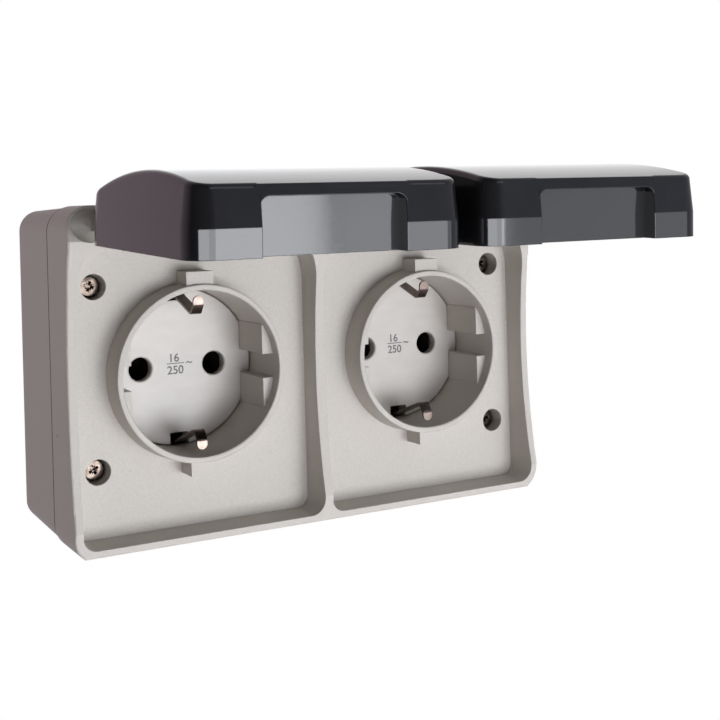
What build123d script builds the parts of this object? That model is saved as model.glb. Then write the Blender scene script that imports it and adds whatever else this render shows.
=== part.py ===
import os
from math import atan, degrees, radians, tan

from build123d import *

# Outdoor twin socket with side earth contacts, for fixing on a wall.
# Frame: +X right, +Y into the wall, +Z up, origin at the centre of the wall face.
# "Depth" is the distance in front of the wall, along -Y. Millimetres.

# Housing
body_width = 126.4
body_height = 80.0
body_corner = 6.0
wall = 2.6
box_floor = 2.4
box_depth = 29.1
box_step = 0.3
box_draft = 1.2
seam_gap = 0.2
seam_chamfer = 0.45
gasket_width = 1.3
gasket_depth = 1.3
gasket_play = 0.05

# Front cover: wells, rim and hinge cove
well_floor = 37.6
panel = 2.4
side_land = 2.45
divider = 3.3
roof_band = 7.1
bottom_land = 3.3
well_draft = 3.6
well_top_corner = 12.0
well_low_corner = 2.8
rim_waist = 43.4
rim_crest = 46.7
rim_nose = 46.5
rim_foot = 45.4
foot_rise = 1.1
nose_rise = 7.3
rim_edge = 0.5
crest_below_top = 8.1
roof_front = 43.0
cove_r = 4.4
cove_depth = 43.8
cove_below_top = 5.0
cove_end = 5.6

# Sockets
socket_shift = 0.1
socket_drop = 0.1
collar_rim = 44.9
collar_rim_r = 20.85
collar_root_r = 21.25
collar_bore_r = 19.5
collar_edge = 0.3
tube_r = 21.0
tube_back = 25.5
tab_width = 6.8
tab_reach = 23.9
tab_front = 43.9
rib_chord = 16.5
rib_low = 2.9
rib_high = 10.1
rib_front = 41.6
rib_fuse = 0.3

# Socket insert
face_depth = 27.45
face_thickness = 2.45
face_play = 0.25
face_edge = 0.3
pin_spacing = 19.0
pin_hole_r = 2.9
pin_hole_edge = 0.3
slot_width = 4.8
slot_start = 16.2
carrier_r = 18.0
carrier_back = 6.0
rib_clear = 0.15
lug_reach = 22.5
lug_width = 7.0
lug_back = 14.0
lug_thickness = 2.5
chamber_floor = 9.4
chamber_size = 8.4
terminal_x = 7.5
terminal_z = 10.5
terminal_pocket = 5.6

# Contacts
strip_thickness = 0.6
strip_bend = 0.9
bow_width = 2.6
bow_side = 18.55
bow_apex_z = 14.4
bow_apex_depth = 38.9
bow_tip_z = 18.4
bow_tip_depth = 42.6
bow_seat = 12.0
bow_eye_r = 3.2
bow_slot_play = 0.3
leaf_length = 14.6
leaf_height = 7.0
leaf_waist = 2.5
leaf_mouth = 3.2
leaf_root = 2.9
leaf_waist_drop = 3.4
tail_width = 4.6

# Lids and hinges
axis_depth = 42.3
axis_below_top = 3.8
lid_droop = 2.0
lid_rim_gap = 0.3
lid_side_play = 0.3
lid_top_play = 1.0
lid_low_play = 1.6
lid_wall = 2.2
lid_back_corner = 13.0
lid_front_corner = 4.8
lid_band = 5.6
lid_draft = 6.0
lid_back_height = 8.7
lid_peak_height = 16.2
lid_peak_reach = 45.5
lid_front_height = 13.3
lid_edge = 1.2
notch_width = 30.5
notch_height = 12.3
notch_corner = 2.2
notch_foot = 6.8
notch_waist = 5.7
notch_waist_height = 8.0
notch_crown = 3.4
barrel_r = 2.1
barrel_half = 19.8
barrel_clear = 0.5
web_half = 15.0
web_thickness = 2.4
ear_r = 2.1
ear_gap = 0.5
ear_width = 4.0
hinge_pin_r = 1.0
hinge_fit = 0.03
pin_short = 0.1
seal_gap = 0.15
seal_inner_r = 19.0
seal_outer_r = 22.0
seal_thickness = 2.4
seal_fit = 0.05
seal_lip = 1.2
seal_lip_height = 2.0

# Screws
cover_screw_inset = 8.2
cover_screw_spread = 42.6
cover_head_r = 2.7
cover_head = 1.6
cover_shank_r = 1.5
cover_shank_tip = 13.0
cover_hole_r = 1.7
counterbore_r = 3.0
counterbore_depth = 5.2
post_r = 4.5
boss_r = 4.0
screw_fit = 0.05
pilot_spare = 1.0
insert_head_r = 2.6
insert_head = 1.8
insert_shank_r = 1.4
insert_shank_tip = 5.5
insert_hole_r = 1.6
insert_boss_r = 3.5
terminal_head_r = 2.3
terminal_head = 1.8
terminal_shank_r = 1.2
terminal_shank = 2.2
head_edge = 0.4

# Back: wall fixing and cable entry
fixing_spacing_x = 100.0
fixing_spacing_z = 62.0
fixing_hole_r = 2.3
fixing_ring_r = 4.6
fixing_ring_height = 1.2
entry_depth = 13.6
entry_r = 10.0
entry_fit = 0.1
entry_pad_r = 12.4
grommet_flange_r = 11.4
grommet_flange = 1.6
grommet_lip_r = 10.9
grommet_lip = 1.2
grommet_bore_r = 4.5

# Worked out from the sizes above
top = body_height / 2
bottom = -top
cover_back = box_depth + seam_gap
box_width = body_width - 2 * box_step
box_height = body_height - 2 * box_step
box_corner = body_corner - box_step
box_bottom = -box_height / 2
well_width = (body_width - 2 * side_land - divider) / 2
well_x = (well_width + divider) / 2
well_top = top - roof_band
well_bottom = bottom + bottom_land
socket_x = well_x + socket_shift
socket_z = -socket_drop
face_r = collar_bore_r - face_play
face_back = face_depth - face_thickness
post_back = box_depth - gasket_depth
screw_x = body_width / 2 - cover_screw_inset
screw_seat = well_floor - counterbore_depth
screw_points = [
    (x, socket_z + z)
    for x in (-screw_x, screw_x)
    for z in (-cover_screw_spread / 2, cover_screw_spread / 2)
]
axis_height = top - axis_below_top
rim_height = axis_height - (axis_depth - well_floor - lid_rim_gap)
lid_back = axis_depth + axis_height - (well_top - lid_top_play)
lid_front = axis_depth + axis_height - (well_bottom + lid_low_play)
lid_width = 2 * (well_x + well_width / 2 - lid_side_play - socket_x)
seal_height = rim_height + collar_rim + seal_gap - well_floor - lid_rim_gap
seal_depth = axis_depth + axis_height - socket_z
ear_inside = barrel_half + ear_gap
pin_half = ear_inside + ear_width - pin_short
sides = {"left": -1, "right": 1}

os.makedirs("parts", exist_ok=True)


def front(depth):
    """Plane parallel to the wall: local x is X, local y is Z, facing the user."""
    return Plane.XZ.offset(depth)


def side(x):
    """Plane across the part: local x is depth, local y is Z."""
    return Plane(origin=(x, 0, 0), x_dir=(0, -1, 0), z_dir=(-1, 0, 0))


def insert_points(x):
    return [(x - lug_reach, socket_z), (x + lug_reach, socket_z)]


# Back box, with its screw bosses, wall fixing holes and cable entry
with BuildPart() as back_box:
    with BuildSketch(front(0)):
        taken = box_depth * tan(radians(box_draft))
        RectangleRounded(box_width - 2 * taken, box_height - 2 * taken, box_corner - taken)
    extrude(amount=box_depth, taper=-box_draft)
    chamfer(back_box.faces().sort_by(Axis.Y)[0].outer_wire().edges(), length=seam_chamfer)
    with BuildSketch(Plane.XY.offset(box_bottom)):
        with Locations((0, -entry_depth)):
            Circle(entry_pad_r)
    extrude(amount=wall)
    with BuildSketch(front(box_floor)):
        RectangleRounded(box_width - 2 * wall, box_height - 2 * wall, box_corner - wall)
    extrude(amount=box_depth, mode=Mode.SUBTRACT)
    with BuildSketch(front(box_depth - gasket_depth)):
        rebate = wall - gasket_width
        RectangleRounded(box_width - 2 * rebate, box_height - 2 * rebate, box_corner - rebate)
    extrude(amount=gasket_depth, mode=Mode.SUBTRACT)
    with BuildSketch(front(box_floor)):
        with Locations(*screw_points):
            Circle(boss_r)
        for x, z in screw_points:
            reach = box_width / 2 - wall - screw_x
            with Locations((x + (reach / 2 if x > 0 else -reach / 2), z)):
                Rectangle(reach, boss_r)
    extrude(amount=post_back - box_floor)
    with BuildSketch(front(box_floor)):
        for sign in sides.values():
            with Locations(*insert_points(sign * socket_x)):
                Circle(insert_boss_r)
    extrude(amount=lug_back - box_floor)
    with BuildSketch(front(box_floor)):
        with GridLocations(fixing_spacing_x, fixing_spacing_z, 2, 2):
            Circle(fixing_ring_r)
    extrude(amount=fixing_ring_height)
    with BuildSketch(front(0)):
        with GridLocations(fixing_spacing_x, fixing_spacing_z, 2, 2):
            Circle(fixing_hole_r)
    extrude(amount=box_floor + fixing_ring_height, mode=Mode.SUBTRACT)
    with BuildSketch(front(cover_shank_tip - pilot_spare)):
        with Locations(*screw_points):
            Circle(cover_shank_r + screw_fit)
    extrude(amount=box_depth, mode=Mode.SUBTRACT)
    with BuildSketch(front(insert_shank_tip - pilot_spare)):
        for sign in sides.values():
            with Locations(*insert_points(sign * socket_x)):
                Circle(insert_shank_r + screw_fit)
    extrude(amount=lug_back, mode=Mode.SUBTRACT)
    with BuildSketch(Plane.XY.offset(box_bottom)):
        with Locations((0, -entry_depth)):
            Circle(entry_r)
    extrude(amount=wall, mode=Mode.SUBTRACT)
back_box.part.label = "back_box"
export_step(back_box.part, "parts/back_box.step")

# Gasket in the rebate of the box, under the edge of the cover
with BuildPart() as box_gasket:
    with BuildSketch(front(box_depth - gasket_depth)):
        outer = wall - gasket_width + gasket_play
        inner = wall
        RectangleRounded(box_width - 2 * outer, box_height - 2 * outer, box_corner - outer)
        RectangleRounded(
            box_width - 2 * inner, box_height - 2 * inner, box_corner - inner, mode=Mode.SUBTRACT
        )
    extrude(amount=gasket_depth + seam_gap)
box_gasket.part.label = "box_gasket"
export_step(box_gasket.part, "parts/box_gasket.step")

# Front cover: one moulding, hollow behind, with two wells and two plug collars
with BuildPart() as front_cover:
    with BuildSketch(front(cover_back)):
        RectangleRounded(body_width, body_height, body_corner)
    extrude(amount=rim_crest - cover_back)
    chamfer(front_cover.faces().sort_by(Axis.Y)[-1].outer_wire().edges(), length=seam_chamfer)
    # Side view: hollow-backed rim, then the scoop under the thin roof edge
    with BuildSketch(side(0)):
        with BuildLine():
            nose = (rim_nose, bottom + nose_rise)
            crest = (rim_crest, top - crest_below_top)
            ThreePointArc(nose, (rim_waist, socket_z), crest)
            Polyline(
                crest,
                (roof_front, top),
                (cover_back - panel, top),
                (cover_back - panel, bottom),
                (rim_foot, bottom + foot_rise),
                nose,
            )
        make_face()
    extrude(amount=body_width, both=True, mode=Mode.INTERSECT)
    outline = front_cover.edges().filter_by(lambda e: e.center().Y < -roof_front + rim_edge)
    creases = outline.filter_by(Axis.X).filter_by(lambda e: abs(e.center().Z) < top - 2 * foot_rise)
    fillet([e for e in outline if e not in creases], radius=rim_edge)
    # Scoop under the roof, with round ends, where the lids hinge
    cove_half = body_width / 2 - cove_end
    cove_height = top - cove_below_top
    with BuildSketch(side(0)):
        with Locations((cove_depth, cove_height)):
            Circle(cove_r)
    extrude(amount=cove_half, both=True, mode=Mode.SUBTRACT)
    with Locations((-cove_half, -cove_depth, cove_height), (cove_half, -cove_depth, cove_height)):
        Sphere(cove_r, mode=Mode.SUBTRACT)
    with BuildSketch(front(cover_back)):
        RectangleRounded(box_width - 2 * wall, box_height - 2 * wall, box_corner - wall)
    extrude(amount=well_floor - panel - cover_back, mode=Mode.SUBTRACT)
    for sign in sides.values():
        with BuildSketch(front(well_floor)) as well:
            with Locations((sign * well_x, (well_top + well_bottom) / 2)):
                Rectangle(well_width, well_top - well_bottom)
            fillet(well.vertices().group_by(Axis.Y)[-1], radius=well_top_corner)
            fillet(well.vertices().group_by(Axis.Y)[0], radius=well_low_corner)
        extrude(amount=rim_crest - well_floor + panel, taper=-well_draft, mode=Mode.SUBTRACT)
    for sign in sides.values():
        with BuildSketch(front(tube_back)):
            with Locations((sign * socket_x, socket_z)):
                Circle(tube_r)
        extrude(amount=well_floor - tube_back)
        with BuildSketch(front(well_floor)):
            with Locations((sign * socket_x, socket_z)):
                Circle(collar_root_r)
        collar_taper = degrees(atan((collar_root_r - collar_rim_r) / (collar_rim - well_floor)))
        extrude(amount=collar_rim - well_floor, taper=collar_taper)
        with BuildSketch(front(well_floor)):
            with Locations((sign * socket_x, socket_z)):
                Rectangle(tab_width, 2 * tab_reach)
        extrude(amount=tab_front - well_floor)
        with BuildSketch(front(tube_back)):
            with Locations((sign * socket_x, socket_z)):
                Circle(collar_bore_r)
        extrude(amount=rim_crest - tube_back, mode=Mode.SUBTRACT)
        # Guide ribs at both sides of the bore, with a gap between each pair
        with BuildSketch(front(face_depth + rib_clear)):
            rib_width = collar_root_r - rib_chord
            rib_x = (collar_root_r + rib_chord) / 2
            with Locations((sign * socket_x, socket_z)):
                with GridLocations(2 * rib_x, rib_high + rib_low, 2, 2):
                    Rectangle(rib_width, rib_high - rib_low)
                Circle(collar_bore_r + rib_fuse, mode=Mode.INTERSECT)
        extrude(amount=rib_front - face_depth - rib_clear)
    circles = front_cover.edges().filter_by(GeomType.CIRCLE)
    fillet(circles.filter_by(lambda e: abs(e.center().Y + collar_rim) < collar_edge), radius=collar_edge)
    with BuildSketch(front(post_back)):
        with Locations(*screw_points):
            Circle(post_r)
    extrude(amount=well_floor - panel / 2 - post_back)
    with BuildSketch(front(post_back)):
        with Locations(*screw_points):
            Circle(cover_hole_r)
    extrude(amount=rim_waist - post_back, mode=Mode.SUBTRACT)
    with BuildSketch(front(screw_seat)):
        with Locations(*screw_points):
            Circle(counterbore_r)
    extrude(amount=counterbore_depth + panel, mode=Mode.SUBTRACT)
    # Hinge ears in the cove, with room for the lid barrels between them
    for sign in sides.values():
        with BuildSketch(side(sign * socket_x)):
            with Locations((axis_depth, axis_height)):
                Circle(barrel_r + barrel_clear)
        extrude(amount=ear_inside, both=True, mode=Mode.SUBTRACT)
        for end in sides.values():
            with BuildSketch(side(sign * socket_x + end * (ear_inside + ear_width / 2))):
                with Locations((axis_depth, axis_height)):
                    Circle(ear_r)
                with BuildLine():
                    Polyline(
                        (cove_depth - cove_r, axis_height - ear_r),
                        (axis_depth, axis_height - ear_r),
                        (axis_depth, cove_height + cove_r),
                        (cove_depth - cove_r, cove_height + cove_r),
                        close=True,
                    )
                make_face()
            extrude(amount=ear_width / 2, both=True)
        with BuildSketch(side(sign * socket_x)):
            with Locations((axis_depth, axis_height)):
                Circle(hinge_pin_r + hinge_fit)
        extrude(amount=ear_inside + ear_width, both=True, mode=Mode.SUBTRACT)
front_cover.part.label = "front_cover"
export_step(front_cover.part, "parts/front_cover.step")

# Four cover screws, heads sunk in the floors of the wells
with BuildPart() as cover_screws:
    with BuildSketch(front(screw_seat)):
        with Locations(*screw_points):
            Circle(cover_head_r)
    extrude(amount=cover_head)
    fillet(cover_screws.faces().group_by(Axis.Y)[0].edges(), radius=head_edge)
    with BuildSketch(front(cover_shank_tip)):
        with Locations(*screw_points):
            Circle(cover_shank_r)
    extrude(amount=screw_seat - cover_shank_tip)
cover_screws.part.label = "cover_screws"
export_step(cover_screws.part, "parts/cover_screws.step")


def lid_block(x, inset):
    """Closed form of a lid, drawn in by inset on every side but the rim."""
    with BuildPart() as block:
        with BuildSketch(Plane.XY.offset(rim_height)) as plan:
            with Locations((x, -(lid_back + lid_front) / 2)):
                Rectangle(lid_width - 2 * inset, lid_front - lid_back - 2 * inset)
            fillet(plan.vertices().group_by(Axis.Y)[-1], radius=lid_back_corner - inset)
            fillet(plan.vertices().group_by(Axis.Y)[0], radius=lid_front_corner - inset)
        extrude(amount=lid_band)
        extrude(block.faces().sort_by(Axis.Z)[-1], amount=lid_peak_height, taper=lid_draft)
        with BuildSketch(side(x)):
            with BuildLine():
                crown = ThreePointArc(
                    (lid_back, rim_height + lid_back_height - inset),
                    (axis_depth + lid_peak_reach, rim_height + lid_peak_height - inset),
                    (lid_front, rim_height + lid_front_height - inset),
                )
                Polyline(crown @ 1, (lid_front, rim_height), (lid_back, rim_height), crown @ 0)
            make_face()
        extrude(amount=lid_width, both=True, mode=Mode.INTERSECT)
    return block


def notch_block(x, grow):
    """Finger recess in the free end of a lid, grown by the wall that lines it."""
    with BuildPart() as block:
        with BuildSketch(front(lid_front - 2 * notch_foot)) as face:
            with Locations((x, rim_height + (notch_height + grow) / 2)):
                Rectangle(notch_width + 2 * grow, notch_height + grow)
            fillet(face.vertices().group_by(Axis.Y)[-1], radius=notch_corner + grow)
        extrude(amount=2 * notch_foot + notch_crown)
        with BuildSketch(side(x)):
            with BuildLine():
                foot = (lid_front - notch_foot - grow, rim_height)
                waist = (lid_front - notch_waist - grow, rim_height + notch_waist_height)
                crown = (lid_front - notch_crown + notch_corner, rim_height + notch_height + grow)
                end = lid_front + notch_crown
                Line(foot, waist)
                bend = TangentArc(waist, crown, tangent=Vector(waist) - Vector(foot))
                Polyline(bend @ 1, (end, rim_height + notch_height + grow), (end, rim_height), foot)
            make_face()
        extrude(amount=notch_width, both=True, mode=Mode.INTERSECT)
    return block


for name, sign in sides.items():
    lid_x = sign * socket_x
    shell = lid_block(lid_x, 0)
    hollow = lid_block(lid_x, lid_wall)
    recess = notch_block(lid_x, 0)
    lining = notch_block(lid_x, lid_wall)

    # Ring that carries the seal, grown down from the crown of the lid
    with BuildPart() as seal_ring:
        with BuildSketch(Plane.XY.offset(seal_height + seal_thickness - seal_lip_height)):
            with Locations((lid_x, -seal_depth)):
                Circle(seal_outer_r + seal_lip)
                Circle(seal_inner_r - seal_lip, mode=Mode.SUBTRACT)
        extrude(amount=lid_peak_height)
        with BuildSketch(Plane.XY.offset(seal_height)):
            with Locations((lid_x, -seal_depth)):
                Circle(seal_outer_r)
                Circle(seal_inner_r, mode=Mode.SUBTRACT)
        extrude(amount=seal_thickness, mode=Mode.SUBTRACT)
        add(shell.part, mode=Mode.INTERSECT)

    with BuildPart() as lid:
        add(shell.part)
        fillet(lid.edges().filter_by_position(Axis.Z, rim_height + lid_band + 1, top * 2), radius=lid_edge)
        add(hollow.part, mode=Mode.SUBTRACT)
        add(lining.part.intersect(shell.part))
        add(recess.part, mode=Mode.SUBTRACT)
        add(seal_ring.part)
        with BuildSketch(side(lid_x)):
            with Locations(((axis_depth + lid_back + lid_wall / 2) / 2, axis_height)):
                Rectangle(lid_back + lid_wall / 2 - axis_depth, web_thickness)
        extrude(amount=web_half, both=True)
        with BuildSketch(side(lid_x)):
            with Locations((axis_depth, axis_height)):
                Circle(barrel_r)
        extrude(amount=barrel_half, both=True)
        with BuildSketch(side(lid_x)):
            with Locations((axis_depth, axis_height)):
                Circle(hinge_pin_r + hinge_fit)
        extrude(amount=barrel_half, both=True, mode=Mode.SUBTRACT)
    hinge_axis = Axis((lid_x, -axis_depth, axis_height), (1, 0, 0))
    open_lid = lid.part.rotate(hinge_axis, lid_droop)
    open_lid.label = f"lid_{name}"
    export_step(open_lid, f"parts/lid_{name}.step")

    with BuildPart() as lid_seal:
        with BuildSketch(Plane.XY.offset(seal_height)):
            with Locations((lid_x, -seal_depth)):
                Circle(seal_outer_r - seal_fit)
                Circle(seal_inner_r + seal_fit, mode=Mode.SUBTRACT)
        extrude(amount=seal_thickness)
    open_seal = lid_seal.part.rotate(hinge_axis, lid_droop)
    open_seal.label = f"lid_seal_{name}"
    export_step(open_seal, f"parts/lid_seal_{name}.step")

    with BuildPart() as hinge_pin:
        with BuildSketch(side(lid_x)):
            with Locations((axis_depth, axis_height)):
                Circle(hinge_pin_r)
        extrude(amount=pin_half, both=True)
    hinge_pin.part.label = f"hinge_pin_{name}"
    export_step(hinge_pin.part, f"parts/hinge_pin_{name}.step")

    # Face plate at the bottom of the plug recess
    with BuildPart() as face_plate:
        with BuildSketch(front(face_back)):
            with Locations((lid_x, socket_z)):
                Circle(face_r)
        extrude(amount=face_thickness)
        fillet(face_plate.faces().sort_by(Axis.Y)[0].edges(), radius=face_edge)
        with BuildSketch(front(face_back)):
            with Locations((lid_x, socket_z)):
                with GridLocations(pin_spacing, 0, 2, 1):
                    Circle(pin_hole_r)
                with GridLocations(0, slot_start + face_r, 1, 2):
                    Rectangle(slot_width, face_r - slot_start)
        extrude(amount=face_thickness, mode=Mode.SUBTRACT)
        circles = face_plate.edges().filter_by(GeomType.CIRCLE)
        holes = circles.filter_by(lambda e: abs(e.radius - pin_hole_r) < pin_hole_edge)
        chamfer(holes.group_by(Axis.Y)[0], length=pin_hole_edge)
    face_plate.part.label = f"face_plate_{name}"
    export_step(face_plate.part, f"parts/face_plate_{name}.step")

    # Carrier that holds the contacts, screwed to the box by its two lugs
    with BuildPart() as contact_carrier:
        with BuildSketch(front(carrier_back)):
            with Locations((lid_x, socket_z)):
                Circle(carrier_r)
        extrude(amount=face_back - carrier_back)
        with BuildSketch(front(lug_back)):
            with Locations((lid_x, socket_z)):
                SlotCenterToCenter(2 * lug_reach, lug_width)
        extrude(amount=lug_thickness)
        with BuildSketch(front(lug_back)):
            with Locations(*insert_points(lid_x)):
                Circle(insert_hole_r)
        extrude(amount=lug_thickness, mode=Mode.SUBTRACT)
        with BuildSketch(front(chamber_floor)):
            with Locations((lid_x, socket_z)):
                with GridLocations(pin_spacing, 0, 2, 1):
                    Rectangle(chamber_size, chamber_size)
            with Locations((lid_x, socket_z - terminal_z / 2 - terminal_pocket / 4)):
                with GridLocations(2 * terminal_x, 0, 2, 1):
                    Rectangle(terminal_pocket, terminal_z + terminal_pocket / 2)
        extrude(amount=face_back - chamber_floor, mode=Mode.SUBTRACT)
        with BuildSketch(front(bow_seat)):
            with Locations((lid_x, socket_z)):
                Rectangle(bow_width + 2 * bow_slot_play, 2 * carrier_r)
                Circle(bow_eye_r + bow_slot_play)
        extrude(amount=face_back - bow_seat, mode=Mode.SUBTRACT)
        with BuildSketch(front(carrier_back)):
            with Locations((lid_x, socket_z - terminal_z)):
                with GridLocations(2 * terminal_x, 0, 2, 1):
                    Circle(terminal_shank_r + screw_fit)
            with Locations((lid_x, socket_z)):
                Circle(terminal_shank_r + screw_fit)
        extrude(amount=bow_seat - carrier_back, mode=Mode.SUBTRACT)
    contact_carrier.part.label = f"contact_carrier_{name}"
    export_step(contact_carrier.part, f"parts/contact_carrier_{name}.step")

    # Earth bow: one bent strip, with a V contact at each end and an eye at its middle
    with BuildPart() as earth_bow:
        with BuildSketch(side(lid_x)):
            with BuildLine() as strip:
                seat = bow_seat + strip_thickness / 2
                upper = [
                    (bow_tip_depth, bow_tip_z),
                    (bow_apex_depth, bow_apex_z),
                    (face_back, bow_side),
                    (seat, bow_side),
                ]
                lower = [(depth, -z) for depth, z in reversed(upper)]
                FilletPolyline(*[(d, socket_z + z) for d, z in upper + lower], radius=strip_bend)
                offset(amount=strip_thickness / 2, side=Side.BOTH)
            make_face()
        extrude(amount=bow_width / 2, both=True)
        with BuildSketch(front(bow_apex_depth)):
            with Locations((lid_x, socket_z)):
                Rectangle(2 * bow_width, 2 * bow_tip_z + bow_width)
                SlotOverall(2 * bow_tip_z + strip_thickness, bow_width, rotation=90, mode=Mode.SUBTRACT)
        extrude(amount=bow_tip_depth - bow_apex_depth + strip_thickness, mode=Mode.SUBTRACT)
        with BuildSketch(front(bow_seat)):
            with Locations((lid_x, socket_z)):
                Circle(bow_eye_r)
        extrude(amount=strip_thickness)
        with BuildSketch(front(bow_seat)):
            with Locations((lid_x, socket_z)):
                Circle(terminal_shank_r + screw_fit)
        extrude(amount=strip_thickness, mode=Mode.SUBTRACT)
    earth_bow.part.label = f"earth_bow_{name}"
    export_step(earth_bow.part, f"parts/earth_bow_{name}.step")

    # Spring contacts: two leaves that grip a plug pin, with a tail to the terminal screw
    for pole, pole_sign in (("line", -1), ("neutral", 1)):
        pole_x = lid_x + pole_sign * pin_spacing / 2
        with BuildPart() as contact:
            with BuildSketch(Plane.XY.offset(socket_z)):
                with BuildLine():
                    half = strip_thickness / 2
                    leaf = [
                        (leaf_mouth, chamber_floor + leaf_length),
                        (leaf_waist, chamber_floor + leaf_length - leaf_waist_drop),
                        (leaf_root, chamber_floor + half),
                    ]
                    other = [(-x, depth) for x, depth in reversed(leaf)]
                    FilletPolyline(*[(pole_x + x, -depth) for x, depth in leaf + other], radius=strip_bend)
                    offset(amount=half, side=Side.BOTH)
                make_face()
            extrude(amount=leaf_height / 2, both=True)
            with BuildSketch(front(chamber_floor)):
                tail_x = lid_x + pole_sign * terminal_x
                with Locations((tail_x, socket_z - terminal_z / 2)):
                    Rectangle(tail_width, terminal_z)
                with Locations((tail_x, socket_z - terminal_z)):
                    Circle(tail_width / 2)
                    Circle(terminal_shank_r + screw_fit, mode=Mode.SUBTRACT)
            extrude(amount=strip_thickness)
        contact.part.label = f"{pole}_contact_{name}"
        export_step(contact.part, f"parts/{pole}_contact_{name}.step")

    # Three terminal screws: line and neutral on the contact tails, earth on the bow
    with BuildPart() as terminal_screws:
        tail_points = [(lid_x + x, socket_z - terminal_z) for x in (-terminal_x, terminal_x)]
        for points, seat in ((tail_points, chamber_floor), ([(lid_x, socket_z)], bow_seat)):
            with BuildSketch(front(seat + strip_thickness)):
                with Locations(*points):
                    Circle(terminal_head_r)
            extrude(amount=terminal_head)
            with BuildSketch(front(seat - terminal_shank)):
                with Locations(*points):
                    Circle(terminal_shank_r)
            extrude(amount=terminal_shank + strip_thickness)
    terminal_screws.part.label = f"terminal_screws_{name}"
    export_step(terminal_screws.part, f"parts/terminal_screws_{name}.step")

    with BuildPart() as insert_screws:
        with BuildSketch(front(lug_back + lug_thickness)):
            with Locations(*insert_points(lid_x)):
                Circle(insert_head_r)
        extrude(amount=insert_head)
        fillet(insert_screws.faces().group_by(Axis.Y)[0].edges(), radius=head_edge)
        with BuildSketch(front(insert_shank_tip)):
            with Locations(*insert_points(lid_x)):
                Circle(insert_shank_r)
        extrude(amount=lug_back + lug_thickness - insert_shank_tip)
    insert_screws.part.label = f"insert_screws_{name}"
    export_step(insert_screws.part, f"parts/insert_screws_{name}.step")

# Rubber grommet in the cable entry, snapped into the bottom wall of the box
with BuildPart() as cable_grommet:
    with BuildSketch(Plane.XY.offset(box_bottom - grommet_flange)):
        with Locations((0, -entry_depth)):
            Circle(grommet_flange_r)
    extrude(amount=grommet_flange)
    with BuildSketch(Plane.XY.offset(box_bottom)):
        with Locations((0, -entry_depth)):
            Circle(entry_r - entry_fit)
    extrude(amount=wall)
    with BuildSketch(Plane.XY.offset(box_bottom + wall)):
        with Locations((0, -entry_depth)):
            Circle(grommet_lip_r)
    extrude(amount=grommet_lip)
    with BuildSketch(Plane.XY.offset(box_bottom - grommet_flange)):
        with Locations((0, -entry_depth)):
            Circle(grommet_bore_r)
    extrude(amount=grommet_flange + wall + grommet_lip, mode=Mode.SUBTRACT)
cable_grommet.part.label = "cable_grommet"
export_step(cable_grommet.part, "parts/cable_grommet.step")
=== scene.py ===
import math

import bpy
from mathutils import Matrix, Vector


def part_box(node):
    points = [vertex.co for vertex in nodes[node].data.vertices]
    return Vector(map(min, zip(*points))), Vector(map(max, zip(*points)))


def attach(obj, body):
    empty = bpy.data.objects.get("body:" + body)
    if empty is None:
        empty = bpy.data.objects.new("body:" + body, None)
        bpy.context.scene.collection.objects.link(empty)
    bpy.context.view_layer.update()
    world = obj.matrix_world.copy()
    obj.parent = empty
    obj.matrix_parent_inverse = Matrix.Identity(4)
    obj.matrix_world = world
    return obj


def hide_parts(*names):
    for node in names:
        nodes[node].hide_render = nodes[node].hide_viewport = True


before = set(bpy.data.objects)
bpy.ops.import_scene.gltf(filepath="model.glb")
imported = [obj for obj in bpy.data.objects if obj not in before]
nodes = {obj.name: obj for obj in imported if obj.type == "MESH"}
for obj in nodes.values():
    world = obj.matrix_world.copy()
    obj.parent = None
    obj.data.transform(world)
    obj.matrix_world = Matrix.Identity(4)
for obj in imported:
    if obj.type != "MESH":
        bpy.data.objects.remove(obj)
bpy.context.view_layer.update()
mm = 0.001
sides = ("left", "right")
print("frame loaded,", len(nodes), "nodes")


# small helpers for the node trees; a noise is given as size of one blob, detail and stretch

noiseSpan = (0.3, 0.7)      # nearly all values of a noise lie in here
edgeSamples = 6


def newFinish(name, metallic=0.0):
    finish = bpy.data.materials.new(name)
    finish.use_nodes = True
    shader = finish.node_tree.nodes["Principled BSDF"]
    shader.inputs["Metallic"].default_value = metallic
    return finish, finish.node_tree, shader


def noiseAt(tree, grain, detail, stretch=(1, 1, 1)):
    place = tree.nodes.new("ShaderNodeTexCoord")
    turn = tree.nodes.new("ShaderNodeMapping")
    turn.inputs["Scale"].default_value = stretch
    noise = tree.nodes.new("ShaderNodeTexNoise")
    noise.inputs["Scale"].default_value = 1 / grain
    noise.inputs["Detail"].default_value = detail
    tree.links.new(place.outputs["Object"], turn.inputs["Vector"])
    tree.links.new(turn.outputs["Vector"], noise.inputs["Vector"])
    return noise.outputs["Fac"]


def colourFrom(tree, source, spots, colours):
    # from the first colour to the second, between two values of the source
    ramp = tree.nodes.new("ShaderNodeValToRGB")
    for mark, spot, colour in zip(ramp.color_ramp.elements, spots, colours):
        mark.position = spot
        mark.color = (*colour, 1)
    tree.links.new(source, ramp.inputs["Fac"])
    return ramp.outputs["Color"]


def toneFrom(tree, source, look):
    return colourFrom(tree, source, look["spots"], (look["dark"], look["light"]))


def roughnessFrom(tree, shader, source, look):
    spread = tree.nodes.new("ShaderNodeMapRange")
    for end, value, rough in zip(("Min", "Max"), noiseSpan, look["rough"]):
        spread.inputs[f"From {end}"].default_value = value
        spread.inputs[f"To {end}"].default_value = rough
    tree.links.new(source, spread.inputs["Value"])
    tree.links.new(spread.outputs["Result"], shader.inputs["Roughness"])


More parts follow.
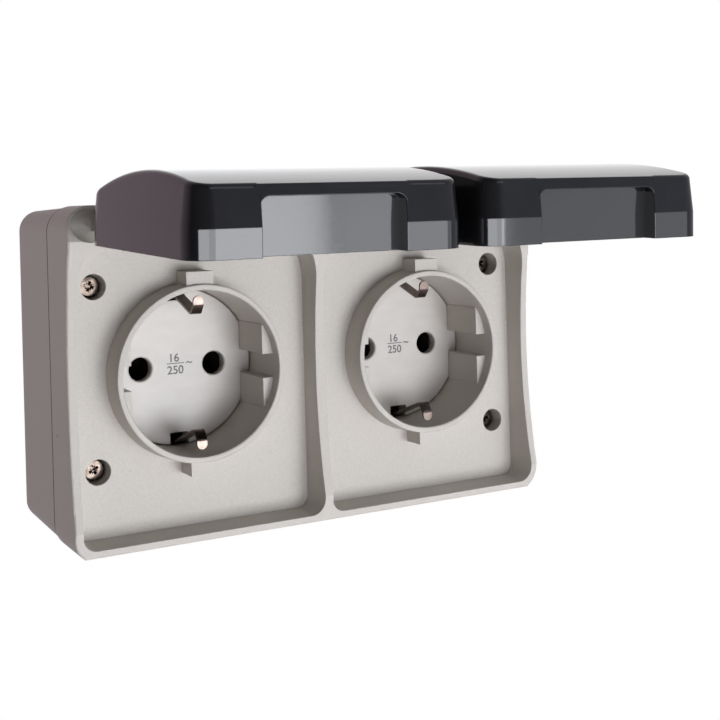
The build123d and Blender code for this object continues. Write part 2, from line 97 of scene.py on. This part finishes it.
def reliefFrom(tree, shader, source, look):
    # grain on the surface, and a worn radius on the sharp edges
    worn = tree.nodes.new("ShaderNodeBevel")
    worn.samples = edgeSamples
    worn.inputs["Radius"].default_value = look["edge"]
    bump = tree.nodes.new("ShaderNodeBump")
    bump.inputs["Distance"].default_value = look["relief"]
    tree.links.new(source, bump.inputs["Height"])
    tree.links.new(worn.outputs["Normal"], bump.inputs["Normal"])
    tree.links.new(bump.outputs["Normal"], shader.inputs["Normal"])


# finishes, one for each material slot of the part

housing = {
    "light": (0.580, 0.545, 0.496),
    "dark": (0.521, 0.489, 0.443),
    "spots": (0.30, 0.62),
    "grain": (0.34 * mm, 3.0),
    "speck": (0.40, 0.38, 0.355),       # a few dark points moulded in
    "speckGrain": (2.3 * mm, 0.0),
    "speckSpots": (0.900, 0.930),
    "rough": (0.50, 0.64),
    "gloss": 0.4,
    "relief": 0.020 * mm,
    "edge": 0.22 * mm,
}


def housingPlastic():
    finish, tree, shader = newFinish("housingPlastic")
    grain = noiseAt(tree, *housing["grain"])
    specks = noiseAt(tree, *housing["speckGrain"])
    mask = colourFrom(tree, specks, housing["speckSpots"], ((0, 0, 0), (1, 1, 1)))
    mix = tree.nodes.new("ShaderNodeMix")
    mix.data_type = "RGBA"
    mix.inputs["B"].default_value = (*housing["speck"], 1)
    tree.links.new(mask, mix.inputs["Factor"])
    tree.links.new(toneFrom(tree, grain, housing), mix.inputs["A"])
    tree.links.new(mix.outputs["Result"], shader.inputs["Base Color"])
    shader.inputs["Specular IOR Level"].default_value = housing["gloss"]
    roughnessFrom(tree, shader, grain, housing)
    reliefFrom(tree, shader, grain, housing)
    return finish


lidFinish = {
    "light": (0.0135, 0.0135, 0.0155),
    "dark": (0.0105, 0.0105, 0.0120),
    "spots": (0.35, 0.65),
    "cloud": (9 * mm, 4.0),
    "haze": (0.5 * mm, 3.0),
    "rough": (0.07, 0.12),
    "peel": (1.6 * mm, 2.0),            # faint orange peel of a polished mould
    "relief": 0.0012 * mm,
    "edge": 0.25 * mm,
}


def lidPlastic():
    finish, tree, shader = newFinish("lidPlastic")
    cloud = noiseAt(tree, *lidFinish["cloud"])
    tree.links.new(toneFrom(tree, cloud, lidFinish), shader.inputs["Base Color"])
    roughnessFrom(tree, shader, noiseAt(tree, *lidFinish["haze"]), lidFinish)
    reliefFrom(tree, shader, noiseAt(tree, *lidFinish["peel"]), lidFinish)
    return finish


faceFinish = {
    "light": (0.568, 0.536, 0.497),
    "dark": (0.533, 0.502, 0.465),
    "spots": (0.35, 0.65),
    "flow": (7 * mm, 4.0, (1.0, 1.0, 2.2)),     # flow marks of the moulding
    "grain": (0.25 * mm, 2.0),
    "rough": (0.33, 0.43),
    "relief": 0.004 * mm,
    "edge": 0.15 * mm,
}


def facePlastic():
    finish, tree, shader = newFinish("facePlastic")
    flow = noiseAt(tree, *faceFinish["flow"])
    tree.links.new(toneFrom(tree, flow, faceFinish), shader.inputs["Base Color"])
    grain = noiseAt(tree, *faceFinish["grain"])
    roughnessFrom(tree, shader, grain, faceFinish)
    reliefFrom(tree, shader, grain, faceFinish)
    return finish


carrierFinish = {
    "light": (0.016, 0.014, 0.012),
    "dark": (0.010, 0.009, 0.008),
    "spots": (0.35, 0.65),
    "grain": (0.6 * mm, 3.0),
    "rough": (0.42, 0.58),
    "relief": 0.008 * mm,
    "edge": 0.15 * mm,
}


def carrierPlastic():
    finish, tree, shader = newFinish("carrierPlastic")
    grain = noiseAt(tree, *carrierFinish["grain"])
    tree.links.new(toneFrom(tree, grain, carrierFinish), shader.inputs["Base Color"])
    roughnessFrom(tree, shader, grain, carrierFinish)
    reliefFrom(tree, shader, grain, carrierFinish)
    return finish


plated = {
    "spots": (0.32, 0.66),
    "cloud": (1.8 * mm, 4.0),
}
metals = {
    "contactNickel": {
        **plated,
        "light": (0.170, 0.137, 0.119),
        "dark": (0.115, 0.089, 0.075),
        "lines": (0.30 * mm, 3.0, (6, 0.4, 0.4)),
        "rough": (0.18, 0.26),
        "relief": 0.0002 * mm,
        "edge": 0.12 * mm,
    },
    "screwNickel": {
        **plated,
        "light": (0.145, 0.116, 0.098),
        "dark": (0.055, 0.041, 0.033),
        "lines": (0.30 * mm, 3.0),
        "rough": (0.16, 0.28),
        "relief": 0.004 * mm,
        "edge": 0.10 * mm,
    },
    "pinSteel": {
        **plated,
        "light": (0.58, 0.58, 0.59),
        "dark": (0.42, 0.42, 0.43),
        "lines": (0.25 * mm, 3.0, (0.2, 4, 4)),
        "rough": (0.22, 0.36),
        "relief": 0.002 * mm,
        "edge": 0.10 * mm,
    },
    "holeShadeBronze": {             # spring contacts behind the pin holes, darkened as painted shade so that the holes look black
        **plated,
        "light": (0.060, 0.046, 0.036),
        "dark": (0.030, 0.022, 0.017),
        "lines": (0.30 * mm, 3.0, (0.4, 0.4, 6)),
        "rough": (0.40, 0.55),
        "relief": 0.0015 * mm,
        "edge": 0.12 * mm,
    },
}


def plating(name):
    # plated metal: cloudy tone, and drawn lines along a strip or an even grain on a screw
    look = metals[name]
    finish, tree, shader = newFinish(name, metallic=1.0)
    cloud = noiseAt(tree, *look["cloud"])
    tree.links.new(toneFrom(tree, cloud, look), shader.inputs["Base Color"])
    lines = noiseAt(tree, *look["lines"])
    roughnessFrom(tree, shader, lines, look)
    reliefFrom(tree, shader, lines, look)
    return finish


rubber = {
    "light": (0.030, 0.030, 0.031),
    "dark": (0.017, 0.017, 0.018),
    "spots": (0.3, 0.7),
    "bloom": (2.5 * mm, 5.0),
    "rough": (0.62, 0.80),
    "pores": (0.25 * mm, 2.0),
    "relief": 0.010 * mm,
    "edge": 0.2 * mm,
}


def sealRubber():
    finish, tree, shader = newFinish("sealRubber")
    bloom = noiseAt(tree, *rubber["bloom"])
    tree.links.new(toneFrom(tree, bloom, rubber), shader.inputs["Base Color"])
    roughnessFrom(tree, shader, bloom, rubber)
    reliefFrom(tree, shader, noiseAt(tree, *rubber["pores"]), rubber)
    return finish


inkFinish = {
    "light": (0.19, 0.18, 0.18),
    "dark": (0.055, 0.052, 0.052),
    "spots": (0.40, 0.70),
    "wear": (0.35 * mm, 3.0),           # thin ink, lighter where it skipped
    "rough": (0.45, 0.6),
}


def printInk():
    finish, tree, shader = newFinish("printInk")
    wear = noiseAt(tree, *inkFinish["wear"])
    tree.links.new(toneFrom(tree, wear, inkFinish), shader.inputs["Base Color"])
    roughnessFrom(tree, shader, wear, inkFinish)
    return finish


finishes = {
    "housing": housingPlastic(),
    "lid": lidPlastic(),
    "socket_face": facePlastic(),
    "carrier": carrierPlastic(),
    "contact_metal": plating("contactNickel"),
    "screw_metal": plating("screwNickel"),
    "pin_metal": plating("pinSteel"),
    "seal_rubber": sealRubber(),
}
# contacts behind the pin holes take the dark bronze: painted shade of the deep holes
holeShadeBronze = plating("holeShadeBronze")
for name, node in nodes.items():
    behindPinHole = name.startswith(("line_contact", "neutral_contact"))
    for holder in node.material_slots:
        holder.material = holeShadeBronze if behindPinHole else finishes[holder.material.name]
print("finishes set on the nodes")


# modelling helpers

near = 0.1 * mm             # points this close count as one place
facing = 0.9                # share of a normal along the axis that it faces
smoothAngle = math.radians(32)
meshParts = {"VERT": "vertices", "EDGE": "edges", "FACE": "polygons"}


def freshStart():
    bpy.ops.object.select_all(action="DESELECT")


def takeUp(piece):
    # the one piece that the next operators act on
    freshStart()
    piece.select_set(True)
    bpy.context.view_layer.objects.active = piece


def addCube(place=(0, 0, 0)):
    freshStart()
    bpy.ops.mesh.primitive_cube_add(size=1, location=place)
    return bpy.context.object


def applyPlace():
    bpy.ops.object.transform_apply(location=True, rotation=True, scale=True)


def pickOnly(piece, kind, test):
    # selects the parts of the mesh that pass the test, and nothing else
    bpy.ops.object.mode_set(mode="EDIT")
    bpy.ops.mesh.select_mode(type=kind)
    bpy.ops.mesh.select_all(action="DESELECT")
    bpy.ops.object.mode_set(mode="OBJECT")
    for part in getattr(piece.data, meshParts[kind]):
        part.select = test(part)
    bpy.ops.object.mode_set(mode="EDIT")


def pickPoints(piece, test):
    pickOnly(piece, "VERT", lambda vert: test(vert.co))


def pickEdges(piece, test):
    def ends(edge):
        return (piece.data.vertices[end].co for end in edge.vertices)

    pickOnly(piece, "EDGE", lambda edge: test(*ends(edge)))


def pickFaces(piece, test):
    pickOnly(piece, "FACE", lambda face: test(face.normal))


def roundEdges(radius, steps):
    bpy.ops.mesh.bevel(offset=radius, segments=steps, affect="EDGES", profile=0.5)


def cutAway(piece, tool):
    takeUp(piece)
    cut = piece.modifiers.new("cut", "BOOLEAN")
    cut.operation = "DIFFERENCE"
    cut.object = tool
    bpy.ops.object.modifier_apply(modifier="cut")
    bpy.data.objects.remove(tool)


def thicken(piece, thickness, offset):
    sheet = piece.modifiers.new("sheet", "SOLIDIFY")
    sheet.thickness = thickness
    sheet.offset = offset
    bpy.ops.object.modifier_apply(modifier="sheet")


def middleOf(name):
    return [(low + high) / 2 for low, high in zip(*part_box(name))]


def settle(piece, finish, body):
    # place goes into the mesh, then finish, slot and body
    takeUp(piece)
    applyPlace()
    piece.data.materials.clear()
    piece.data.materials.append(finish)
    bpy.ops.object.shade_smooth_by_angle(angle=smoothAngle)
    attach(piece, body)


# cover screws: pan heads with a cross recess, threaded shanks

coverScrew = {
    "headRadius": 2.7 * mm,
    "headHeight": 1.6 * mm,
    "headSides": 56,
    "dome": 0.55 * mm,
    "domeSteps": 6,
    "shankRadius": 1.5 * mm,
    "pitch": 1.1 * mm,
    "threadDepth": 0.28 * mm,
    "cross": (3.3 * mm, 0.82 * mm, 1.25 * mm),  # span, width and depth of a bar
    "tick": (2.7 * mm, 0.30 * mm, 0.28 * mm),   # fine marks between the bars
    "barFoot": (0.45, 0.62),                    # share of span and width at a bar's foot
    "turns": (28, -17, 9, 40),                  # degrees
}
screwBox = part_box("cover_screws")


def cutterBar(span, width, depth, turn):
    # bar along local x, narrower at its foot, sunk from z = 0
    bar = addCube()
    bpy.ops.object.mode_set(mode="EDIT")
    bpy.ops.transform.resize(value=(span, width, 2 * depth))
    pickFaces(bar, lambda normal: normal.z < -facing)
    bpy.ops.transform.resize(value=(*coverScrew["barFoot"], 1), center_override=(0, 0, 0))
    bpy.ops.mesh.select_all(action="SELECT")
    bpy.ops.transform.rotate(value=turn, orient_axis="Z", center_override=(0, 0, 0))
    bpy.ops.object.mode_set(mode="OBJECT")
    return bar


def makeCoverScrew():
    headRadius, headHeight = coverScrew["headRadius"], coverScrew["headHeight"]
    shankRadius = coverScrew["shankRadius"]
    freshStart()
    bpy.ops.mesh.primitive_cylinder_add(
        vertices=coverScrew["headSides"], radius=headRadius, depth=headHeight, location=(0, 0, 0)
    )
    screw = bpy.context.object
    bpy.ops.object.mode_set(mode="EDIT")
    bpy.ops.mesh.select_all(action="SELECT")
    bpy.ops.transform.translate(value=(0, 0, -headHeight / 2))
    pickFaces(screw, lambda normal: normal.z > facing)
    roundEdges(coverScrew["dome"], coverScrew["domeSteps"])
    pickFaces(screw, lambda normal: normal.z < -facing)
    bpy.ops.mesh.inset(thickness=headRadius - shankRadius)
    shankLength = screwBox[1].y - screwBox[0].y - headHeight
    threads = round(shankLength / coverScrew["pitch"])
    narrow = 1 - coverScrew["threadDepth"] / shankRadius
    for share in (narrow, 1 / narrow) * threads:
        bpy.ops.mesh.extrude_region_move(
            TRANSFORM_OT_translate={"value": (0, 0, -shankLength / threads / 2)}
        )
        bpy.ops.transform.resize(value=(share, share, 1))
    bpy.ops.object.mode_set(mode="OBJECT")
    for cut, firstTurn in (("cross", 0), ("tick", math.pi / 4)):
        for turn in (firstTurn, firstTurn + math.pi / 2):
            cutAway(screw, cutterBar(*coverScrew[cut], turn))
    return screw


inset = coverScrew["headRadius"]
screwCentres = [
    (x, z)
    for x in (screwBox[0].x + inset, screwBox[1].x - inset)
    for z in (screwBox[0].z + inset, screwBox[1].z - inset)
]
screwPieces = [makeCoverScrew()]
while len(screwPieces) < len(screwCentres):
    twin = screwPieces[0].copy()
    twin.data = screwPieces[0].data.copy()
    bpy.context.scene.collection.objects.link(twin)
    screwPieces.append(twin)
for number, piece in enumerate(screwPieces):
    x, z = screwCentres[number]
    piece.name = f"coverScrew{number + 1}"
    piece.matrix_world = (
        Matrix.Translation((x, screwBox[0].y, z))
        @ Matrix.Rotation(math.pi / 2, 4, "X")
        @ Matrix.Rotation(math.radians(coverScrew["turns"][number]), 4, "Z")
    )
    settle(piece, finishes["screw_metal"], "base")
    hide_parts("cover_screws")
print("cover screws made")


# finger recesses of the lids: an upright floor and a lower lip, lining the recess of the CAD lid

recess = {
    "front": 113.6 * mm,      # front of the lid and height of its rim, before it droops
    "rim": 31.8 * mm,
    "droop": math.radians(2),
    "halfWidth": 15.55 * mm,
    "foot": 0.02 * mm,        # heights over the rim: start of the lining,
    "lip": 12.75 * mm,        # its top, past the CAD opening,
    "height": 11.2 * mm,      # and top of the new opening
    "corner": 2.2 * mm,
    "cornerSteps": 10,
    "depth": 3.2 * mm,        # upright floor behind the front
    "backFoot": 7.4 * mm,     # back of the lining, in the wall of the CAD lid, at rim and top
    "backTop": 3.76 * mm,
    "proud": 0.03 * mm,       # the lip covers the rounded edge of the CAD opening
    "band": 5.6 * mm,         # the front leans back above this height
    "lean": math.tan(math.radians(6)),
    "pastSides": 0.03 * mm,   # how far the block that cuts the opening stands out
    "pastFoot": 1 * mm,
    "pastFront": 3 * mm,
}


def leaningBlock(halfWidth, low, high, front, back):
    # x across, y into the lid, z up; front and back give the depth at a height
    block = addCube()
    bpy.ops.object.mode_set(mode="EDIT")
    bpy.ops.mesh.select_all(action="SELECT")
    bpy.ops.transform.resize(value=(2 * halfWidth, 1, high - low))
    bpy.ops.transform.translate(value=(0, 0, (high + low) / 2))

    def isAt(spot, depth, height):
        return abs(spot.y - depth) < near and abs(spot.z - height) < near

    for height in (low, high):
        for start, depth in ((-0.5, front(height)), (0.5, back(height))):
            pickPoints(block, lambda spot: isAt(spot, start, height))
            bpy.ops.transform.translate(value=(0, depth - start, 0))
    pickEdges(block, lambda a, b: min(a.z, b.z) > high - near and abs(a.x - b.x) < near)
    roundEdges(recess["corner"], recess["cornerSteps"])
    bpy.ops.object.mode_set(mode="OBJECT")
    return block


def makeRecess(side):
    r = recess
    liner = leaningBlock(
        r["halfWidth"], r["foot"], r["lip"],
        lambda z: (z - r["band"]) * r["lean"] - r["proud"],
        lambda z: r["backFoot"] + (r["backTop"] - r["backFoot"]) * z / r["lip"],
    )
    opening = leaningBlock(
        r["halfWidth"] + r["pastSides"], -r["pastFoot"], r["height"],
        lambda z: -r["pastFront"],
        lambda z: r["depth"],
    )
    cutAway(liner, opening)
    lid, pin = middleOf(f"lid_{side}"), middleOf(f"hinge_pin_{side}")
    hinge = Matrix.Translation((0, pin[1], pin[2]))
    liner.name = f"recess{side.capitalize()}"
    liner.matrix_world = (
        hinge @ Matrix.Rotation(r["droop"], 4, "X") @ hinge.inverted()
        @ Matrix.Translation((lid[0], -r["front"], r["rim"]))
    )
    settle(liner, finishes["lid"], f"lid_{side}_body")


for side in sides:
    makeRecess(side)
print("finger recesses lined")


# earth bows: one bent strip with an upright, rounded tip at each end

bow = {
    "thickness": 0.6 * mm,
    "width": 2.6 * mm,
    "bend": 0.9 * mm,
    "bendSteps": 6,
    "tipRound": 0.48,         # share of the width
    "tipSteps": 7,
    "eye": 3.2 * mm,          # round plate in the middle, behind the face
    "eyeSides": 40,
    # depth, and height from the middle of the socket
    "points": [
        (42.4 * mm, 18.1 * mm), (42.3 * mm, 15.9 * mm), (40.5 * mm, 13.8 * mm),
        (26.6 * mm, 18.55 * mm), (12.3 * mm, 18.55 * mm),
    ],
}
# the strip is bent lying flat: its x becomes depth, its y height and its z the way across
standUp = Matrix(((0, 0, -1, 0), (-1, 0, 0, 0), (0, 1, 0, 0), (0, 0, 0, 1)))


def bentPath(corners, radius, steps):
    # the corner points, with an arc in place of each inner one
    spots = [Vector(corner) for corner in corners]
    path = [spots[0]]
    for before, corner, after in zip(spots, spots[1:], spots[2:]):
        toBefore, toAfter = (before - corner).normalized(), (after - corner).normalized()
        half = toBefore.angle(toAfter) / 2
        middle = corner + (toBefore + toAfter).normalized() * radius / math.sin(half)
        start, end = (
            corner + way * radius / math.tan(half) - middle for way in (toBefore, toAfter)
        )
        for step in range(steps + 1):
            path.append(middle + start.lerp(end, step / steps).normalized() * radius)
    return path + [spots[-1]]


def makeBow(side):
    points, thickness = bow["points"], bow["thickness"]
    corners = points + [(depth, -height) for depth, height in reversed(points)]
    path = bentPath(corners, bow["bend"], bow["bendSteps"])
    ribbon = bpy.data.curves.new("ribbon", "CURVE")
    ribbon.dimensions = "2D"
    ribbon.extrude = bow["width"] / 2
    spline = ribbon.splines.new("POLY")
    spline.points.add(len(path) - 1)
    for point, spot in zip(spline.points, path):
        point.co = (*spot, 0, 1)
    strip = bpy.data.objects.new("strip", ribbon)
    bpy.context.scene.collection.objects.link(strip)
    takeUp(strip)
    bpy.ops.object.convert(target="MESH")
    strip = bpy.context.object
    thicken(strip, thickness, 0)
    tips = [Vector((*corners[end], 0)) for end in (0, -1)]

    def isTipCorner(p, q):
        # an edge through the sheet, at either end of the strip
        through = abs(p.z - q.z) < near and (p - q).length > thickness / 2
        middle = Vector((*(p + q).xy / 2, 0))
        return through and any((middle - tip).length < near for tip in tips)

    pickEdges(strip, isTipCorner)
    roundEdges(bow["tipRound"] * bow["width"], bow["tipSteps"])
    bpy.ops.object.mode_set(mode="OBJECT")
    bpy.ops.mesh.primitive_cylinder_add(
        vertices=bow["eyeSides"], radius=bow["eye"], depth=thickness,
        location=(points[-1][0], 0, 0), rotation=(0, math.pi / 2, 0),
    )
    strip.select_set(True)
    bpy.context.view_layer.objects.active = strip
    bpy.ops.object.join()
    strip.name = f"earthBow{side.capitalize()}"
    face = middleOf(f"face_plate_{side}")
    strip.matrix_world = Matrix.Translation((face[0], 0, face[2])) @ standUp
    settle(strip, finishes["contact_metal"], "base")
    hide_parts(f"earth_bow_{side}")


for side in sides:
    makeBow(side)
print("earth bows bent")


# a dark ring sunk in the groove between box and cover: painted shadow that draws the seam as a
# dark line

seam = {
    "width": 0.5 * mm,
    "below": 0.05 * mm,       # under the outer faces of the cover
    "corner": 6.0 * mm,
    "cornerSteps": 12,
    "thickness": 0.5 * mm,
    "ahead": 0.2 * mm,        # of the box's front edge
}


def makeSeam():
    low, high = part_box("front_cover")
    below = seam["below"]
    ring = addCube()
    ring.scale = (high.x - low.x - 2 * below, seam["width"], high.z - low.z - 2 * below)
    applyPlace()
    pickEdges(ring, lambda a, b: abs(a.y - b.y) > seam["width"] / 2)
    roundEdges(seam["corner"] - below, seam["cornerSteps"])
    pickFaces(ring, lambda normal: abs(normal.y) > facing)
    bpy.ops.mesh.delete(type="FACE")
    bpy.ops.object.mode_set(mode="OBJECT")
    thicken(ring, seam["thickness"], -1)
    ring.name = "seamShadowRing"
    cover = middleOf("front_cover")
    ring.matrix_world = Matrix.Translation(
        (cover[0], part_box("back_box")[0].y - seam["ahead"], cover[2])
    )
    # the dark rubber finish makes the ring a painted seam shadow
    settle(ring, finishes["seal_rubber"], "base")


makeSeam()
print("seam closed")


# rating numerals printed on the socket faces

rating = {
    "digitHeight": 2.0 * mm,
    "fontShare": 0.70,        # height of a digit in the built-in font at size 1
    "curveSteps": 6,
    "thickness": 0.02 * mm,
    "boldness": 0.05 * mm,
    "texts": [                # with the centre of each
        ("16", (-0.70 * mm, 2.16 * mm)),
        ("250", (-0.57 * mm, -0.84 * mm)),
        ("~", (3.02 * mm, 0.75 * mm)),
    ],
    "barWidth": 4.5 * mm,
    "barHeight": 0.22 * mm,
    "barCentre": (-0.53 * mm, 0.75 * mm),
}
ink = printInk()


def printedText(text, centre):
    freshStart()
    bpy.ops.object.text_add(location=(0, 0, 0))
    word = bpy.context.object
    word.data.body = text
    word.data.align_x = "CENTER"
    word.data.size = rating["digitHeight"] / rating["fontShare"]
    word.data.extrude = rating["thickness"] / 2
    word.data.offset = rating["boldness"]
    word.data.resolution_u = rating["curveSteps"]
    bpy.ops.object.convert(target="MESH")
    word = bpy.context.object
    corners = [vert.co for vert in word.data.vertices]
    middle = [(min(c[k] for c in corners) + max(c[k] for c in corners)) / 2 for k in range(2)]
    bpy.ops.object.mode_set(mode="EDIT")
    bpy.ops.mesh.select_all(action="SELECT")
    bpy.ops.transform.translate(value=(centre[0] - middle[0], centre[1] - middle[1], 0))
    bpy.ops.object.mode_set(mode="OBJECT")
    return word


def makeRating(side):
    words = [printedText(text, centre) for text, centre in rating["texts"]]
    bar = addCube((*rating["barCentre"], 0))
    bar.scale = (rating["barWidth"], rating["barHeight"], rating["thickness"])
    applyPlace()
    for word in words:
        word.select_set(True)
    bpy.context.view_layer.objects.active = bar
    bpy.ops.object.join()
    bar.name = f"rating{side.capitalize()}"
    face, front = middleOf(f"face_plate_{side}"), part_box(f"face_plate_{side}")[0].y
    bar.matrix_world = (
        Matrix.Translation((face[0], front, face[2])) @ Matrix.Rotation(math.pi / 2, 4, "X")
    )
    settle(bar, ink, "base")


for side in sides:
    makeRating(side)
print("rating numerals printed")


# camera, fitted to the photograph's viewing angle

cameraSet = {
    "place": (-139.79 * mm, -318.37 * mm, 38.89 * mm),
    "yaw": 0.5127,
    "pitch": 0.0022,
    "roll": -0.0281,
    "lens": 62.29,
    "sensor": 36,
    "shiftX": -0.0120,
    "shiftY": -0.2228,
    "clipStart": 10 * mm,
}
cameraData = bpy.data.cameras.new("camera")
cameraData.lens = cameraSet["lens"]
cameraData.sensor_width = cameraSet["sensor"]
cameraData.shift_x = cameraSet["shiftX"]
cameraData.shift_y = cameraSet["shiftY"]
cameraData.clip_start = cameraSet["clipStart"]
camera = bpy.data.objects.new("camera", cameraData)
bpy.context.scene.collection.objects.link(camera)
camera.matrix_world = (
    Matrix.Translation(cameraSet["place"])
    @ Matrix.Rotation(-cameraSet["yaw"], 4, "Z")
    @ Matrix.Rotation(math.pi / 2 + cameraSet["pitch"], 4, "X")
    @ Matrix.Rotation(cameraSet["roll"], 4, "Z")
)
bpy.context.scene.camera = camera
bpy.context.scene.view_settings.view_transform = "Standard"
print("camera placed")


# white studio: world, floor and softboxes

studio = {
    "frontLeft": (0.03, 0.02, 0.02),
    "frontRight": (0.35, 0.37, 0.42),
    "backLeft": (0.50, 0.40, 0.45),
    "backRight": (0.52, 0.47, 0.47),
    "leftToRight": (-0.1, 0.6),         # where these four blend, along x and y of the direction
    "frontToBack": (-0.15, 0.6),
    "gleamBack": (0.40, 0.96),          # where gloss shows the white backdrop
    "gleamRight": (-0.06, 0.28),
    "softboxTint": (0.975, 1.0, 1.045),
    "floorSize": 8,
    "floorDrop": 0.55,
    "floorColour": (0.86, 0.86, 0.86),
    "floorWhite": 0.998,                # share of plain white in what the camera sees
}


def makeWorld():
    world = bpy.data.worlds.new("studio")
    bpy.context.scene.world = world
    world.use_nodes = True
    tree = world.node_tree
    tree.nodes.clear()
    add = tree.nodes.new
    way = add("ShaderNodeTexCoord")
    split = add("ShaderNodeSeparateXYZ")
    tree.links.new(way.outputs["Generated"], split.inputs["Vector"])

    def towards(axis, span):
        step = add("ShaderNodeMapRange")
        step.interpolation_type = "SMOOTHSTEP"
        step.inputs["From Min"].default_value, step.inputs["From Max"].default_value = span
        tree.links.new(split.outputs[axis], step.inputs["Value"])
        return step.outputs["Result"]

    def blend(share, first, second):
        mix = add("ShaderNodeMix")
        mix.data_type = "RGBA"
        tree.links.new(share, mix.inputs["Factor"])
        for socket, colour in (("A", first), ("B", second)):
            if isinstance(colour, tuple):
                mix.inputs[socket].default_value = (*colour, 1)
            else:
                tree.links.new(colour, mix.inputs[socket])
        return mix.outputs["Result"]

    def combine(operation, first, second):
        node = add("ShaderNodeMath")
        node.operation = operation
        tree.links.new(first, node.inputs[0])
        tree.links.new(second, node.inputs[1])
        return node.outputs["Value"]

    right, back = towards("X", studio["leftToRight"]), towards("Y", studio["frontToBack"])
    front = blend(right, studio["frontLeft"], studio["frontRight"])
    behind = blend(right, studio["backLeft"], studio["backRight"])
    room = add("ShaderNodeBackground")
    tree.links.new(blend(back, front, behind), room.inputs["Color"])
    backdrop = add("ShaderNodeBackground")
    backdrop.inputs["Color"].default_value = (1, 1, 1, 1)
    path = add("ShaderNodeLightPath")
    shiny = combine("MAXIMUM", path.outputs["Is Glossy Ray"], path.outputs["Is Transmission Ray"])
    gleam = combine(
        "MULTIPLY", towards("Y", studio["gleamBack"]), towards("X", studio["gleamRight"])
    )
    seen = combine("MAXIMUM", path.outputs["Is Camera Ray"], combine("MULTIPLY", shiny, gleam))
    mix = add("ShaderNodeMixShader")
    tree.links.new(seen, mix.inputs["Fac"])
    tree.links.new(room.outputs["Background"], mix.inputs[1])
    tree.links.new(backdrop.outputs["Background"], mix.inputs[2])
    out = add("ShaderNodeOutputWorld")
    tree.links.new(mix.outputs["Shader"], out.inputs["Surface"])


def makeFloor():
    freshStart()
    bpy.ops.mesh.primitive_plane_add(
        size=studio["floorSize"], location=(0, 0, -studio["floorDrop"])
    )
    floor = bpy.context.object
    floor.name = "floor"
    paper = bpy.data.materials.new("floorPaper")
    paper.use_nodes = True
    tree = paper.node_tree
    tree.nodes.clear()
    matte = tree.nodes.new("ShaderNodeBsdfDiffuse")
    matte.inputs["Color"].default_value = (*studio["floorColour"], 1)
    white = tree.nodes.new("ShaderNodeEmission")
    path = tree.nodes.new("ShaderNodeLightPath")
    share = tree.nodes.new("ShaderNodeMath")
    share.operation = "MULTIPLY"
    share.inputs[1].default_value = studio["floorWhite"]
    tree.links.new(path.outputs["Is Camera Ray"], share.inputs[0])
    mix = tree.nodes.new("ShaderNodeMixShader")
    tree.links.new(share.outputs["Value"], mix.inputs["Fac"])
    tree.links.new(matte.outputs["BSDF"], mix.inputs[1])
    tree.links.new(white.outputs["Emission"], mix.inputs[2])
    out = tree.nodes.new("ShaderNodeOutputMaterial")
    tree.links.new(mix.outputs["Shader"], out.inputs["Surface"])
    floor.data.materials.append(paper)


# spans in degrees seen from the lids: azimuth from straight ahead towards the right, and height;
# glow is the radiance, away is in metres
lowRow = {"height": (-30, -0.5), "away": 0.75}
softboxes = {
    "keyBox": {**lowRow, "azimuth": (12, 25.4), "glow": 9.4},
    "keySide": {**lowRow, "azimuth": (-12, 12), "glow": 6.4},
    "keySheen": {**lowRow, "azimuth": (-12, 12), "glow": 5.2, "unseenBy": "diffuse"},
    "keyEnd": {
        "azimuth": (-54, -11), "height": (-16, -0.5), "away": 0.75, "glow": 8.0,
        "unseenBy": "diffuse",
    },
    "fillBox": {**lowRow, "azimuth": (25.4, 36), "glow": 4.4},
    "edgeBox": {**lowRow, "azimuth": (36, 55), "glow": 1.5},
    "highBox": {"azimuth": (0, 40), "height": (20, 45), "away": 0.9, "glow": 0.8},
    "leftBox": {
        "azimuth": (-135, -95), "height": (-15, 25), "away": 1.0, "glow": 0.72,
        "unseenBy": "glossy",
    },
    "rimBox": {"azimuth": (130, 165), "height": (3, 45), "away": 1.0, "glow": 0.30},
}
lidsMiddle = Vector((0, -100 * mm, 30 * mm))


def makeSoftbox(name, box):
    spans = [box["azimuth"], box["height"]]
    around, up = (math.radians(sum(span) / 2) for span in spans)
    halfWide, halfTall = (math.radians(span[1] - span[0]) / 2 for span in spans)
    way = Vector((
        math.sin(around) * math.cos(up), -math.cos(around) * math.cos(up), math.sin(up)
    ))
    lamp = bpy.data.objects.new(name, bpy.data.lights.new(name, "AREA"))
    bpy.context.scene.collection.objects.link(lamp)
    lamp.data.shape = "RECTANGLE"
    lamp.data.size = 2 * box["away"] * math.cos(up) * math.tan(halfWide)
    lamp.data.size_y = 2 * box["away"] * math.tan(halfTall)
    lamp.data.color = studio["softboxTint"]
    lamp.data.energy = box["glow"] * math.pi * lamp.data.size * lamp.data.size_y
    lamp.location = lidsMiddle + way * box["away"]
    lamp.rotation_euler = (-way).to_track_quat("-Z", "Y").to_euler()
    lamp.visible_camera = False
    lamp.visible_diffuse = box.get("unseenBy") != "diffuse"
    lamp.visible_glossy = box.get("unseenBy") != "glossy"


makeWorld()
makeFloor()
for name, box in softboxes.items():
    makeSoftbox(name, box)
print("studio lit")
